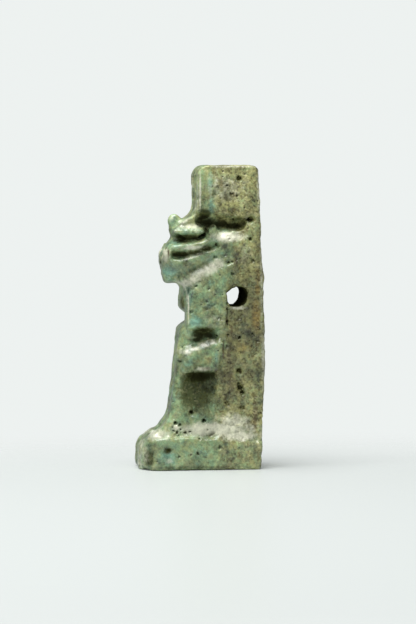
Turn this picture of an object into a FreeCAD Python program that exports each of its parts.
import FreeCAD, Part

import os
import re
import sys

import Sketcher

# A standing goddess amulet of glazed quartz paste, 30 mm high.
# Frame: +Z up, the figure faces -Y, its left side is +X, the origin is under the middle of the plinth.
# Every piece is drawn in that frame, and pieces meet face to face.

os.makedirs("parts", exist_ok=True)

# Driving sizes in millimetres. The heights stack up from the ground to the top of the emblem.
# A "reach" is a distance forward of the axis, towards -Y. A "back" is a distance behind it.
SIZES = {
    "plinth_high": (3.1, "upright sides of the plinth"),
    "ramp_high": (1.2, "sloping paste between plinth and figure"),
    "foot_high": (0.6, "feet, from there to the hem"),
    "skirt_high": (6.6, "hem to the front of the knuckles"),
    "torso_high": (6.9, "knuckles to shoulders"),
    "head_high": (5.4, "shoulders to the top of the wig"),
    "headdress_high": (6.2, "wig to the top of the emblem"),
    "plinth_reach": (6.2, "front of the plinth"),
    "plinth_back": (5.65, "back of the plinth"),
    "plinth_half": (3.25, "half the plinth's width"),
    "plinth_corner_wide": (1.0, "worn left front corner, across"),
    "plinth_corner_deep": (1.26, "worn left front corner, front to back"),
    "plinth_spared_wide": (0.5, "less worn right front corner, across"),
    "plinth_spared_deep": (0.63, "less worn right front corner, front to back"),
    "plinth_round": (0.3, "rounding of the plinth's upright edges"),
    "plinth_foot_round": (0.2, "rounding of its lower edge"),
    "ramp_inset": (0.2, "ledge left between ramp and plinth"),
    "ramp_reach": (3.6, "front of the ramp's top"),
    "ramp_half": (2.65, "half the ramp's top width"),
    "pillar_half": (2.6, "half the pillar's width"),
    "pillar_top_half": (2.4, "half its width at the top"),
    "pillar_bulge_back": (6.2, "pillar's back where it is fullest"),
    "pillar_top_back": (5.5, "pillar's back at the top"),
    "pillar_leg_back": (1.1, "pillar's front behind the legs"),
    "pillar_body_back": (2.15, "pillar's front behind torso and arms"),
    "pillar_head_back": (3.4, "pillar's front behind wig and emblem"),
    "pillar_round": (0.6, "rounding of the pillar's upper back edge"),
    "hole_radius": (1.0, "suspension hole"),
    "hole_back": (3.36, "hole's axis behind the figure's axis"),
    "hole_drop": (1.3, "hole's axis below the shoulders"),
    "body_half": (2.0, "half the width of torso and hips"),
    "chest_reach": (2.2, "chest at its fullest"),
    "waist_reach": (1.5, "hollow under the chest"),
    "hip_reach": (2.7, "front at the level of the knuckles"),
    "hem_reach": (3.9, "front at the hem"),
    "hem_half": (2.55, "half the width at the hem"),
    "arm_thick": (1.0, "arm, across"),
    "left_arm_reach": (1.77, "front of the left arm"),
    "right_arm_reach": (1.1, "front of the right arm"),
    "wrist_high": (2.5, "knuckles up to the forearm's lower edge"),
    "wrist_thick": (0.75, "recessed wrist below the forearm, across"),
    "wrist_low_thick": (0.15, "recessed wrist above the fist, across"),
    "wrist_setback": (0.2, "wrist's front behind the arm's front"),
    "arm_round": (0.22, "rounding of the arm's outer edges"),
    "fist_high": (1.9, "fist, at its front"),
    "fist_rise": (1.1, "slope of the fist's upper side"),
    "fist_lead": (0.35, "fist's front ahead of the arm's front"),
    "fist_swell": (0.15, "fist's lower front edge ahead of its upper one"),
    "fist_round": (0.25, "rounding of the fist's outer edges"),
    "foot_half": (2.45, "outer side of each foot"),
    "toe_high": (0.4, "toes above the ramp"),
    "toe_lean": (0.06, "toes' upper edge behind the lower one"),
    "stride": (0.4, "right toes behind the left toes"),
    "head_half": (2.85, "half the width of wig and cheeks"),
    "cheek_back": (0.3, "plane where face and wig meet"),
    "face_reach": (4.1, "tip of the nose"),
    "neck_reach": (2.3, "where the underside of the chin meets the neck"),
    "band_high": (0.6, "brow band of the wig"),
    "band_reach": (3.1, "front of the brow band"),
    "eye_high": (0.9, "eye recess below the band"),
    "eye_deep": (0.5, "its depth"),
    "ridge_high": (0.7, "ridge below the eye recess"),
    "groove_high": (0.6, "groove between ridge and cheek"),
    "groove_deep": (0.4, "its depth"),
    "groove_reach": (3.05, "front end of both"),
    "wig_slope_wide": (0.85, "slope on the wig's upper edge behind the ear, across"),
    "wig_slope_high": (1.1, "its height"),
    "ear_long": (1.6, "ear, up and down"),
    "ear_wide": (0.95, "ear, front to back"),
    "ear_thick": (0.22, "ear, proud of the wig"),
    "ear_drop": (1.3, "ear's lower end below the top of the wig"),
    "emblem_reach": (0.6, "front of the emblem"),
    "emblem_chamfer": (0.3, "its worn upright front edges"),
    "emblem_round": (0.6, "rounding of its upper front edge"),
    "flare_reach": (1.8, "its flared foot over the brow"),
    "flare_foot": (0.8, "upright front of that foot"),
    "flare_high": (2.0, "height of the flare's curve"),
    "undercut_reach": (0.3, "front end of the undercut under the emblem"),
    "undercut_high": (1.55, "undercut, at its front"),
    "undercut_back": (4.4, "where it runs out in the pillar"),
    "undercut_back_high": (0.8, "undercut, at its back end"),
    "undercut_deep": (0.9, "its depth"),
    "line_wide": (0.24, "incised line on the emblem's front"),
    "line_deep": (0.16, "its depth"),
    "line_long": (2.4, "its length"),
    "line_first": (0.7, "inner lines, from the middle"),
    "line_gap": (1.2, "inner line to outer line"),
    "uraeus_half": (0.35, "half the width of the uraeus"),
    "uraeus_high": (1.45, "uraeus above the wig"),
    "uraeus_reach": (3.35, "front of its hood"),
    "uraeus_round": (0.15, "rounding between crest and hood"),
    "overrun": (4.0, "how far a cut runs past the piece"),
}

# Outline points as shares, chosen by hand, of the sizes named beside each table
BULGE_LEVEL_SHARE = 0.37  # of the whole height
FACE_SHARES = (  # of face_reach, and of the height from shoulders to brow band
    (0.805, 0.875),  # forehead
    (0.90, 0.70),  # bridge
    (1.0, 0.50),  # nose
    (0.965, 0.26),  # lips
    (0.93, 0.10),  # chin
    (0.86, 0.0),  # jaw
)
HEAD_PLAN_SHARES = ((0.86, 0.42), (0.66, 0.80), (0.42, 1.0))  # of head_half and face_reach
GROOVE_END_SHARE = 0.69  # of head_half: the cheek's half width at the grooves' front end
EYE_BACK_SHARE = 0.05  # of groove_reach: where the eye recess ends short of the ear
NECK_SHARES = (0.88, 0.92)  # of chest_reach and torso_high
CHEST_SHARES = ((1.0, 0.70), (0.74, 0.55))  # of chest_reach and torso_high
WAIST_SHARES = (0.505, 0.455)  # of torso_high: deepest, and start of the belly
BELLY_SHARES = ((0.65, 0.455), (0.85, 0.37), (0.93, 0.28))  # of hip_reach and torso_high
SKIRT_SHARES = ((0.86, 0.27), (0.745, 0.712))  # of hem_reach, and of the height from hem to knuckles
SIDE_SHARE = 0.30  # of a body section's reach: where its front corner starts to turn
FRONT_SHARE = 0.45  # of a body section's half width: where the corner ends
TURN_SHARES = (0.88, 0.80)  # of half width and reach: middle of the corner
SHOULDER_SHARES = ((1.0, 0.82), (0.60, 1.0))  # of the arm's reach, and of its height
INSTEP_SHARES = (0.43, 0.45)  # from the hem's front to the toes, and from the toes up to the hem
TOE_SHARES = (0.62, 0.12)  # of foot_half: flat front of the toes, outer and inner end
TOE_TURN_SHARE = 0.20  # of the foot's reach: length of its rounded corners
EAR_SHARES = ((0.30, 0.0), (0.0, 0.45), (0.08, 0.72), (0.5, 1.0), (0.95, 0.70), (0.80, 0.15))
URAEUS_SHARES = ((0.30, 0.83), (0.58, 1.0), (0.85, 0.80), (1.0, 0.48), (0.82, 0.0))
HOOD_PLAN_SHARES = ((1.0, 0.35), (0.86, 0.80), (0.35, 1.0))  # of uraeus_half and of its length
FLARE_SHARES = (0.28, 0.28)  # middle of the flare's curve, of its forward step and its height

doc = FreeCAD.newDocument("goddess_amulet")
sheet = doc.addObject("Spreadsheet::Sheet", "Sizes")
for row, (alias, (size, meaning)) in enumerate(SIZES.items(), start=1):
    sheet.set(f"A{row}", alias)
    sheet.set(f"B{row}", str(size))
    sheet.set(f"C{row}", meaning)
    sheet.setAlias(f"B{row}", alias)
doc.recompute()

# Levels as sums of the stacked heights
DECK = "plinth_high"
RAMP_TOP = f"{DECK} + ramp_high"
HEM = f"{RAMP_TOP} + foot_high"
HIP = f"{HEM} + skirt_high"
FIST_LOW = f"{HIP} - fist_high"
SHOULDER = f"{HIP} + torso_high"
HEAD_TOP = f"{SHOULDER} + head_high"
BROW = f"{HEAD_TOP} - band_high"
TOP = f"{HEAD_TOP} + headdress_high"

# Both sides of the figure
LEFT = 1
RIGHT = -1


def bind(text):
    """The sum with every alias written as its spreadsheet cell."""
    return re.sub(r"\b([a-z]\w*)\b", r"Sizes.\1", text)


def value(text):
    return float(sheet.evalExpression(bind(text)))


def share(amount, text):
    """A share of a size or a sum, itself a sum."""
    return f"{amount} * ({text})"


def between(start, end, amount):
    """The place that lies a share of the way from one sum to another."""
    return f"{start} + {amount} * ({end} - ({start}))"


class Arc:
    """A step of an outline that reaches its end by an arc through a middle point."""

    def __init__(self, middle, end):
        self.middle = middle
        self.end = end


def end_of(step):
    return step.end if isinstance(step, Arc) else step


def spot(point):
    return FreeCAD.Vector(value(point[0]), value(point[1]), 0)


def flip(point):
    return (f"-({point[0]})", point[1])


def mirrored(steps):
    """The same outline on the other side of the second axis."""
    return [Arc(flip(step.middle), flip(step.end)) if isinstance(step, Arc) else flip(step)
            for step in steps]


def nearest_end(sketch, geometry, place):
    """1 for the start and 2 for the end of a line or arc, whichever lies at the place."""
    gaps = [sketch.getPoint(geometry, end).distanceToPoint(place) for end in (1, 2)]
    return 1 + gaps.index(min(gaps))


def pin(sketch, geometry, end, point):
    """Ties one point of the sketch to two sums, measured from the origin."""
    for kind, text in zip(("DistanceX", "DistanceY"), point):
        index = sketch.addConstraint(Sketcher.Constraint(kind, -1, 1, geometry, end, value(text)))
        sketch.setExpression(f"Constraints[{index}]", bind(text))


def draw(sketch, steps):
    """A closed outline of lines and arcs, with each corner and each arc's middle tied to the sizes."""
    first = sketch.GeometryCount
    for before, step in zip([steps[-1]] + steps[:-1], steps):
        start, end = spot(end_of(before)), spot(end_of(step))
        if isinstance(step, Arc):
            sketch.addGeometry(Part.Arc(start, spot(step.middle), end))
        else:
            sketch.addGeometry(Part.LineSegment(start, end))
    for i, step in enumerate(steps):
        here, after = first + i, first + (i + 1) % len(steps)
        place = spot(end_of(step))
        end = nearest_end(sketch, here, place)
        sketch.addConstraint(Sketcher.Constraint("Coincident", here, end,
                                                 after, nearest_end(sketch, after, place)))
        pin(sketch, here, end, end_of(step))
        if isinstance(step, Arc):
            dot = sketch.addGeometry(Part.Point(spot(step.middle)), True)
            pin(sketch, dot, 1, step.middle)
            sketch.addConstraint(Sketcher.Constraint("PointOnObject", dot, 1, here))


def new_body(label):
    body = doc.addObject("PartDesign::Body", label)
    body.Label = label
    return body


def origin_plane(body, role):
    return next(feature for feature in body.Origin.OriginFeatures if feature.Role == role)


def new_sketch(body, name, role, offset=None):
    """A sketch on one of the body's origin planes, or moved from it along its normal."""
    sketch = body.newObject("Sketcher::SketchObject", name)
    sketch.AttachmentSupport = [(origin_plane(body, role), "")]
    sketch.MapMode = "FlatFace"
    if offset:
        sketch.setExpression("AttachmentOffset.Base.z", bind(offset))
    doc.recompute()
    return sketch


def pad(body, name, role, steps, length, offset=None, both=False, turned=False):
    """Extrudes an outline by a sum of sizes, along the plane's normal, against it or to both sides."""
    sketch = new_sketch(body, name + "Sketch", role, offset)
    draw(sketch, steps)
    feature = body.newObject("PartDesign::Pad", name)
    feature.Profile = sketch
    feature.SideType = "Symmetric" if both else "One side"
    feature.Reversed = turned
    feature.setExpression("Length", bind(length))
    doc.recompute()
    return feature


def cut(body, name, role, outlines, offset=None, both=False, turned=False, length=None):
    """Cuts outlines out of the body, against the plane's normal, along it (turned) or to both sides."""
    before = body.Shape.Volume
    sketch = new_sketch(body, name + "Sketch", role, offset)
    for steps in outlines:
        draw(sketch, steps)
    feature = body.newObject("PartDesign::Pocket", name)
    feature.Profile = sketch
    feature.SideType = "Symmetric" if both else "One side"
    feature.Reversed = turned
    if length:
        feature.setExpression("Length", bind(length))
    else:
        feature.Type = "ThroughAll"
    doc.recompute()
    if not body.Shape.Volume < before:
        sys.exit(f"{body.Label}: {name} removed nothing")
    return feature


def round_edges(body, name, radius, chosen):
    """Rounds the edges that pass a test."""
    names = [f"Edge{i}" for i, edge in enumerate(body.Shape.Edges, start=1) if chosen(edge)]
    if not names:
        sys.exit(f"{body.Label}: {name} found no edge")
    base = body.Tip
    feature = body.newObject("PartDesign::Fillet", name)
    feature.Base = (base, names)
    feature.setExpression("Radius", bind(radius))
    doc.recompute()
    return feature


def along(edge, axis):
    """True for a straight edge that is parallel to the axis."""
    box = edge.BoundBox
    longest = {"x": box.XLength, "y": box.YLength, "z": box.ZLength}[axis]
    return longest > edge.Length * (1 - sys.float_info.epsilon ** 0.5)


def at(number, text):
    """True if a coordinate lies on a sum of sizes, to a small share of the whole height."""
    return abs(number - value(text)) < value(TOP) * sys.float_info.epsilon ** 0.5


def in_plane(edge, axis, text):
    """True if the whole edge lies in the plane where the coordinate equals the sum."""
    box = edge.BoundBox
    low, high = {"x": (box.XMin, box.XMax), "y": (box.YMin, box.YMax), "z": (box.ZMin, box.ZMax)}[axis]
    return at(low, text) and at(high, text)


# Plinth: a low block, its left front corner more worn than the right, and paste that slopes up to feet and pillar
def make_plinth():
    body = new_body("plinth")
    outline = [
        ("-plinth_half", "plinth_back"),
        ("-plinth_half", "-plinth_reach + plinth_spared_deep"),
        ("-plinth_half + plinth_spared_wide", "-plinth_reach"),
        ("plinth_half - plinth_corner_wide", "-plinth_reach"),
        ("plinth_half", "-plinth_reach + plinth_corner_deep"),
        ("plinth_half", "plinth_back"),
    ]
    pad(body, "Block", "XY_Plane", outline, DECK)
    round_edges(body, "Corners", "plinth_round", lambda edge: along(edge, "z"))
    round_edges(body, "LowerEdge", "plinth_foot_round", lambda edge: in_plane(edge, "z", "0 * plinth_high"))

    low = new_sketch(body, "RampFoot", "XY_Plane", DECK)
    draw(low, ramp_outline("plinth_half - ramp_inset", "plinth_reach - ramp_inset"))
    high = new_sketch(body, "RampTop", "XY_Plane", RAMP_TOP)
    draw(high, ramp_outline("ramp_half", "ramp_reach"))
    ramp = body.newObject("PartDesign::AdditiveLoft", "Ramp")
    ramp.Profile = low
    ramp.Sections = [high]
    ramp.Ruled = True
    doc.recompute()
    return body


def ramp_outline(half, reach):
    return [(f"-({half})", "plinth_back"), (f"-({half})", f"-({reach})"),
            (half, f"-({reach})"), (half, "plinth_back")]


def taper_outlines():
    """What the narrowing of pillar and emblem takes off on both sides, seen from the front."""
    right = [
        ("pillar_half", SHOULDER),
        ("pillar_half + overrun", SHOULDER),
        ("pillar_half + overrun", f"{TOP} + overrun"),
        ("pillar_top_half", f"{TOP} + overrun"),
        ("pillar_top_half", TOP),
    ]
    return [right, mirrored(right)]


def cut_both_sides(body, name, steps, inner):
    """Cuts an outline of the side view out of both sides, down to the inner half width."""
    cut(body, name + "Left", "YZ_Plane", [steps], offset=inner, turned=True)
    cut(body, name + "Right", "YZ_Plane", [steps], offset=f"-({inner})")


# The undercut's upper side slopes down to the back. This is its level where it enters the pillar.
UNDERCUT_SLOPE = "(undercut_high - undercut_back_high) / (undercut_reach + undercut_back)"
UNDERCUT_MEETS = f"{HEAD_TOP} + undercut_back_high + {UNDERCUT_SLOPE} * (undercut_back - pillar_head_back)"


# Back pillar: a full-height slab, fullest at the back of the knees, pierced from side to side
def make_back_pillar():
    body = new_body("back_pillar")
    side = [
        ("pillar_leg_back", RAMP_TOP),
        ("plinth_back", RAMP_TOP),
        ("pillar_bulge_back", share(BULGE_LEVEL_SHARE, TOP)),
        ("pillar_top_back", TOP),
        ("pillar_head_back", TOP),
        ("pillar_head_back", SHOULDER),
        ("pillar_body_back", SHOULDER),
        ("pillar_body_back", HIP),
        ("pillar_leg_back", FIST_LOW),
    ]
    pad(body, "Slab", "YZ_Plane", side, "2 * pillar_half", both=True)
    cut(body, "Taper", "XZ_Plane", taper_outlines(), both=True)
    round_edges(body, "UpperEdge", "pillar_round",
                lambda edge: along(edge, "x") and at(edge.CenterOfMass.y, "pillar_top_back")
                and at(edge.CenterOfMass.z, TOP))
    undercut_end = [
        ("pillar_head_back", HEAD_TOP),
        ("undercut_back", HEAD_TOP),
        ("undercut_back", f"{HEAD_TOP} + undercut_back_high"),
        ("pillar_head_back", UNDERCUT_MEETS),
    ]
    cut_both_sides(body, "Undercut", undercut_end, "pillar_top_half - undercut_deep")

    sketch = new_sketch(body, "HoleSketch", "YZ_Plane")
    middle = ("hole_back", f"{SHOULDER} - hole_drop")
    circle = sketch.addGeometry(Part.Circle(spot(middle), FreeCAD.Vector(0, 0, 1), value("hole_radius")))
    pin(sketch, circle, 3, middle)
    radius = sketch.addConstraint(Sketcher.Constraint("Radius", circle, value("hole_radius")))
    sketch.setExpression(f"Constraints[{radius}]", bind("hole_radius"))
    hole = body.newObject("PartDesign::Pocket", "SuspensionHole")
    hole.Profile = sketch
    hole.SideType = "Symmetric"
    hole.Type = "ThroughAll"
    doc.recompute()
    return body


# Headdress: the tall emblem block, one with the pillar, flared over the brow and undercut at the sides
def make_headdress():
    body = new_body("headdress")
    flare_top = f"{HEAD_TOP} + flare_foot + flare_high"
    side = [
        ("pillar_head_back", HEAD_TOP),
        ("pillar_head_back", TOP),
        ("-emblem_reach", TOP),
        ("-emblem_reach", flare_top),
        Arc((between("-emblem_reach", "-flare_reach", FLARE_SHARES[0]),
             f"{HEAD_TOP} + flare_foot + {share(FLARE_SHARES[1], 'flare_high')}"),
            ("-flare_reach", f"{HEAD_TOP} + flare_foot")),
        ("-flare_reach", HEAD_TOP),
    ]
    pad(body, "Block", "YZ_Plane", side, "2 * pillar_half", both=True)
    cut(body, "Taper", "XZ_Plane", taper_outlines(), both=True)
    round_edges(body, "UpperEdge", "emblem_round",
                lambda edge: along(edge, "x") and at(edge.CenterOfMass.y, "-emblem_reach")
                and at(edge.CenterOfMass.z, TOP))
    worn = "-emblem_reach + emblem_chamfer"
    foot_half = "pillar_half - emblem_chamfer - flare_reach + emblem_reach"
    corner = [
        ("pillar_half", worn),
        (foot_half, "-flare_reach"),
        (foot_half, "-flare_reach - overrun"),
        ("pillar_half + overrun", "-flare_reach - overrun"),
        ("pillar_half + overrun", worn),
    ]
    cut(body, "WornEdges", "XY_Plane", [corner, mirrored(corner)], turned=True)
    undercut = [
        ("-undercut_reach", HEAD_TOP),
        ("pillar_head_back", HEAD_TOP),
        ("pillar_head_back", UNDERCUT_MEETS),
        ("-undercut_reach", f"{HEAD_TOP} + undercut_high"),
    ]
    cut_both_sides(body, "Undercut", undercut, "pillar_top_half - undercut_deep")
    lines = []
    for place in ("-line_first - line_gap", "-line_first", "line_first", "line_first + line_gap"):
        left, right = f"{place} - line_wide / 2", f"{place} + line_wide / 2"
        upper = f"{flare_top} + line_long"
        lines.append([(left, flare_top), (right, flare_top), (right, upper), (left, upper)])
    cut(body, "IncisedLines", "XZ_Plane", lines, offset="emblem_reach - line_deep", turned=True)
    return body


# Uraeus: a worn knob that rears up in front of the headdress
def make_uraeus():
    body = new_body("uraeus")

    def place(shares):
        return between("-flare_reach", "-uraeus_reach", shares[0]), f"{HEAD_TOP} + {shares[1]} * uraeus_high"

    neck, crest, brow, hood, foot = map(place, URAEUS_SHARES)
    side = [
        ("-flare_reach", HEAD_TOP),
        ("-flare_reach", f"{HEAD_TOP} + flare_foot"),
        neck,
        Arc(crest, brow),
        Arc(hood, foot),
    ]
    pad(body, "Knob", "YZ_Plane", side, "2 * uraeus_half", both=True)
    round_edges(body, "Crest", "uraeus_round",
                lambda edge: along(edge, "x") and at(edge.CenterOfMass.z, brow[1]))
    start, middle, end = [(f"{across} * uraeus_half", between("-flare_reach", "-uraeus_reach", forward))
                          for across, forward in HOOD_PLAN_SHARES]
    corner = [
        start,
        Arc(middle, end),
        (end[0], "-uraeus_reach - overrun"),
        ("uraeus_half + overrun", "-uraeus_reach - overrun"),
        ("uraeus_half + overrun", start[1]),
    ]
    cut(body, "HoodCorners", "XY_Plane", [corner, mirrored(corner)], turned=True)
    return body


def head_trim():
    """What lies outside the head in plan: it narrows from the cheeks to the nose."""
    cheek, temple, front = [(f"{across} * head_half", f"-{reach} * face_reach")
                            for across, reach in HEAD_PLAN_SHARES]
    right = [
        ("head_half", "cheek_back"),
        cheek,
        temple,
        front,
        (front[0], "-face_reach - overrun"),
        ("head_half + overrun", "-face_reach - overrun"),
        ("head_half + overrun", "cheek_back"),
    ]
    return [right, mirrored(right)]


# Wig: the mass behind the face, with the band that runs forward over the brow and a slope behind each ear
def make_wig():
    body = new_body("wig")
    side = [
        ("cheek_back", SHOULDER),
        ("pillar_head_back", SHOULDER),
        ("pillar_head_back", HEAD_TOP),
        ("-band_reach", HEAD_TOP),
        ("-band_reach", BROW),
        ("cheek_back", BROW),
    ]
    pad(body, "Mass", "YZ_Plane", side, "2 * head_half", both=True)
    cut(body, "Plan", "XY_Plane", head_trim(), turned=True)
    slope = [
        ("head_half - wig_slope_wide", HEAD_TOP),
        ("head_half", f"{HEAD_TOP} - wig_slope_high"),
        ("head_half + overrun", f"{HEAD_TOP} - wig_slope_high"),
        ("head_half + overrun", f"{HEAD_TOP} + overrun"),
        ("head_half - wig_slope_wide", f"{HEAD_TOP} + overrun"),
    ]
    cut(body, "RearSlopes", "XZ_Plane", [slope, mirrored(slope)], offset="-(cheek_back + ear_wide)")
    return body


# Face: forehead, eye recess, ridge, groove, cheek, nose and chin, as worn and simple as a small amulet's
def make_face():
    body = new_body("face")
    forehead, bridge, nose, lip, chin, jaw = [
        (f"-{reach} * face_reach", f"{SHOULDER} + {height} * (head_high - band_high)")
        for reach, height in FACE_SHARES]
    side = [
        ("cheek_back", SHOULDER),
        ("cheek_back", BROW),
        ("-band_reach", BROW),
        forehead,
        bridge,
        Arc(nose, lip),
        Arc(chin, jaw),
    ]
    pad(body, "Mass", "YZ_Plane", side, "2 * head_half", both=True)
    cut(body, "Plan", "XY_Plane", head_trim(), turned=True)
    eye_low = f"{BROW} - eye_high"
    groove_low = f"{eye_low} - ridge_high - groove_high"
    cut(body, "EyeRecess", "XY_Plane", groove_outlines("eye_deep", f"-{EYE_BACK_SHARE} * groove_reach"),
        offset=eye_low, turned=True, length="eye_high")
    cut(body, "CheekGroove", "XY_Plane", groove_outlines("groove_deep", "cheek_back"),
        offset=groove_low, turned=True, length="groove_high")
    return body


def groove_outlines(deep, back):
    """A groove along each cheek in plan, as deep as the size says, from the ear to the temple."""
    across, reach = HEAD_PLAN_SHARES[0]
    right = [
        (f"head_half - {deep}", back),
        (f"{across} * head_half - {deep}", f"-{reach} * face_reach"),
        (f"{GROOVE_END_SHARE} * head_half - {deep}", "-groove_reach"),
        ("head_half + overrun", "-groove_reach"),
        ("head_half + overrun", back),
    ]
    return [right, mirrored(right)]


# Ears: small pointed shapes on the wig, just behind the face
def make_ear(label, side):
    body = new_body(label)
    low, front, rise, tip, back, lobe = [
        (f"cheek_back + {wide} * ear_wide", f"{HEAD_TOP} - ear_drop + {up} * ear_long")
        for wide, up in EAR_SHARES]
    outline = [low, front, Arc(rise, tip), Arc(back, lobe)]
    pad(body, "Ear", "YZ_Plane", outline, "ear_thick", offset=f"{side} * head_half", turned=side == RIGHT)
    return body


def section(half, reach, back):
    """A body section in plan: flat back and sides, rounded front corners."""
    side, front, turn = f"-{SIDE_SHARE} * ({reach})", f"{FRONT_SHARE} * ({half})", TURN_SHARES
    middle = (f"{turn[0]} * ({half})", f"-{turn[1]} * ({reach})")
    return [
        (half, back),
        (f"-({half})", back),
        (f"-({half})", side),
        Arc(flip(middle), (f"-({front})", f"-({reach})")),
        (front, f"-({reach})"),
        Arc(middle, (half, side)),
    ]


# Torso: neck, chest, hollow and belly between the arms
def make_torso():
    body = new_body("torso")

    def place(reach, size, height):
        return f"-{reach} * {size}", f"{HIP} + {height} * torso_high"

    side = [
        ("pillar_body_back", HIP),
        ("pillar_body_back", SHOULDER),
        ("-neck_reach", SHOULDER),
        place(NECK_SHARES[0], "chest_reach", NECK_SHARES[1]),
        Arc(place(CHEST_SHARES[0][0], "chest_reach", CHEST_SHARES[0][1]),
            place(CHEST_SHARES[1][0], "chest_reach", CHEST_SHARES[1][1])),
        Arc(("-waist_reach", f"{HIP} + {WAIST_SHARES[0]} * torso_high"),
            place(BELLY_SHARES[0][0], "hip_reach", BELLY_SHARES[0][1])),
        Arc(place(BELLY_SHARES[1][0], "hip_reach", BELLY_SHARES[1][1]),
            place(BELLY_SHARES[2][0], "hip_reach", BELLY_SHARES[2][1])),
        ("-hip_reach", HIP),
    ]
    pad(body, "Mass", "YZ_Plane", side, "2 * body_half", both=True)
    rounded = section("body_half", "hip_reach", "pillar_body_back")
    corner = [
        (f"{FRONT_SHARE} * body_half", "-hip_reach"),
        Arc(rounded[-1].middle, rounded[-1].end),
        ("body_half + overrun", rounded[-1].end[1]),
        ("body_half + overrun", "-hip_reach - overrun"),
        (f"{FRONT_SHARE} * body_half", "-hip_reach - overrun"),
    ]
    cut(body, "FrontCorners", "XY_Plane", [corner, mirrored(corner)], turned=True)
    return body


# Skirt: the close dress over both legs, which widens and comes forward to the hem
def make_skirt():
    body = new_body("skirt")
    sections = [(HEM, "hem_half", "hem_reach", "pillar_leg_back")]
    for reach, height in SKIRT_SHARES[:1]:
        up = f"{height} * skirt_high / (skirt_high - fist_high)"
        sections.append((f"{HEM} + {height} * skirt_high", f"hem_half - (hem_half - body_half) * {up}",
                         f"{reach} * hem_reach", "pillar_leg_back"))
    sections.append((FIST_LOW, "body_half", f"{SKIRT_SHARES[1][0]} * hem_reach", "pillar_leg_back"))
    sections.append((HIP, "body_half", "hip_reach", "pillar_body_back"))
    sketches = []
    for number, (level, half, reach, back) in enumerate(sections):
        sketch = new_sketch(body, f"Section{number}", "XY_Plane", level)
        draw(sketch, section(half, reach, back))
        sketches.append(sketch)
    loft = body.newObject("PartDesign::AdditiveLoft", "Dress")
    loft.Profile = sketches[0]
    loft.Sections = sketches[1:]
    loft.Ruled = True
    doc.recompute()
    return body


# Arms: upper arm and forearm as one block, then the wrist, which slopes in towards the fist
def make_arm(label, side, reach):
    body = new_body(label)
    cuff = f"{HIP} + wrist_high"
    height = "torso_high - wrist_high"
    turn, top = [(f"-{forward} * {reach}", f"{cuff} + {up} * ({height})") for forward, up in SHOULDER_SHARES]
    block = [
        ("pillar_body_back", cuff),
        ("pillar_body_back", SHOULDER),
        (top[0], SHOULDER),
        turn,
        (f"-{reach}", cuff),
    ]
    inner = f"{side} * body_half"
    pad(body, "Block", "YZ_Plane", block, "arm_thick", offset=inner, turned=side == RIGHT)
    outer = f"{side} * (body_half + arm_thick)"
    round_edges(body, "OuterEdges", "arm_round", lambda edge: in_plane(edge, "x", outer))
    lean = f"fist_rise * (fist_lead + wrist_setback) / ({reach} + fist_lead + pillar_body_back)"
    wrist = [
        ("pillar_body_back", cuff),
        (f"-({reach} - wrist_setback)", cuff),
        (f"-({reach} - wrist_setback)", f"{HIP} + {lean}"),
        ("pillar_body_back", f"{HIP} + fist_rise"),
    ]
    pad(body, "Wrist", "YZ_Plane", wrist, "wrist_thick", offset=inner, turned=side == RIGHT)
    undercut = [
        ("body_half + wrist_thick", cuff),
        ("body_half + wrist_low_thick", HIP),
        ("body_half + wrist_thick", HIP),
    ]
    cut(body, "WristSlope", "XZ_Plane", [undercut if side == LEFT else mirrored(undercut)], both=True)
    return body


# Hands: closed fists flat against the thighs
def make_hand(label, side, reach):
    body = new_body(label)
    front = f"{reach} + fist_lead"
    fist = [
        ("pillar_body_back", HIP),
        ("pillar_body_back", f"{HIP} + fist_rise"),
        (f"-({front})", HIP),
        (f"-({front} + fist_swell)", FIST_LOW),
        ("pillar_leg_back", FIST_LOW),
    ]
    pad(body, "Fist", "YZ_Plane", fist, "arm_thick", offset=f"{side} * body_half", turned=side == RIGHT)
    outer = f"{side} * (body_half + arm_thick)"
    round_edges(body, "OuterEdges", "fist_round", lambda edge: in_plane(edge, "x", outer))
    return body


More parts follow.
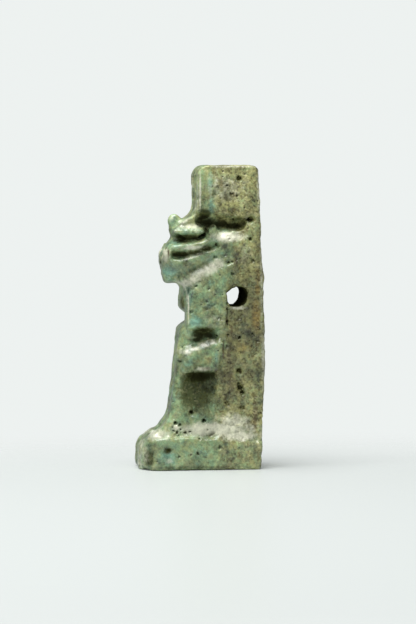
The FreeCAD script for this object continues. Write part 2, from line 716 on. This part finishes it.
# Feet: two low wedges on the ramp, the left one a little ahead
def make_foot(label, side, setback):
    body = new_body(label)
    ramp_run = "plinth_reach - ramp_inset - ramp_reach"
    toe = f"plinth_reach - ramp_inset - {setback}"
    sole = f"{DECK} + ramp_high * ({setback}) / ({ramp_run})"
    upper_toe = (f"-({toe} - toe_lean)", f"{sole} + toe_high")
    instep = (between("-hem_reach", upper_toe[0], INSTEP_SHARES[0]),
              between(f"({upper_toe[1]})", HEM, INSTEP_SHARES[1]))
    outline = [
        ("pillar_leg_back", HEM),
        ("pillar_leg_back", RAMP_TOP),
        ("-ramp_reach", RAMP_TOP),
        (f"-({toe})", sole),
        upper_toe,
        Arc(instep, ("-hem_reach", HEM)),
    ]
    pad(body, "Foot", "YZ_Plane", outline, "foot_half", turned=side == RIGHT)
    turn = f"-({toe}) + {TOE_TURN_SHARE} * ({toe})"
    outer, inner = TOE_SHARES
    corners = [
        [("foot_half", turn), (f"{outer} * foot_half", f"-({toe})"),
         (f"{outer} * foot_half", f"-({toe}) - overrun"), ("foot_half + overrun", f"-({toe}) - overrun"),
         ("foot_half + overrun", turn)],
        [("0 * foot_half", turn), (f"{inner} * foot_half", f"-({toe})"),
         (f"{inner} * foot_half", f"-({toe}) - overrun"), ("-overrun", f"-({toe}) - overrun"),
         ("-overrun", turn)],
    ]
    if side == RIGHT:
        corners = [mirrored(corner) for corner in corners]
    cut(body, "ToeCorners", "XY_Plane", corners, turned=True)
    return body


pieces = [
    make_plinth(),
    make_back_pillar(),
    make_headdress(),
    make_uraeus(),
    make_wig(),
    make_face(),
    make_ear("left_ear", LEFT),
    make_ear("right_ear", RIGHT),
    make_torso(),
    make_skirt(),
    make_arm("left_arm", LEFT, "left_arm_reach"),
    make_arm("right_arm", RIGHT, "right_arm_reach"),
    make_hand("left_hand", LEFT, "left_arm_reach"),
    make_hand("right_hand", RIGHT, "right_arm_reach"),
    make_foot("left_foot", LEFT, "0 * stride"),
    make_foot("right_foot", RIGHT, "stride"),
]

doc.recompute()
for thing in doc.Objects:
    if "Invalid" in thing.State or "Error" in thing.State:
        sys.exit(f"{thing.Name} failed: {thing.State}")
for piece in pieces:
    shape = piece.Shape
    if shape.isNull() or not shape.isValid() or len(shape.Solids) != 1:
        sys.exit(f"{piece.Label}: not one valid solid")
    shape.exportStep(f"parts/{piece.Label}.step")
    box = shape.BoundBox
    print(f"{piece.Label}: {shape.Volume:.2f} mm3, Y {box.YMin:.2f} to {box.YMax:.2f},"
          f" Z {box.ZMin:.2f} to {box.ZMax:.2f}, half width {box.XMax:.2f}")
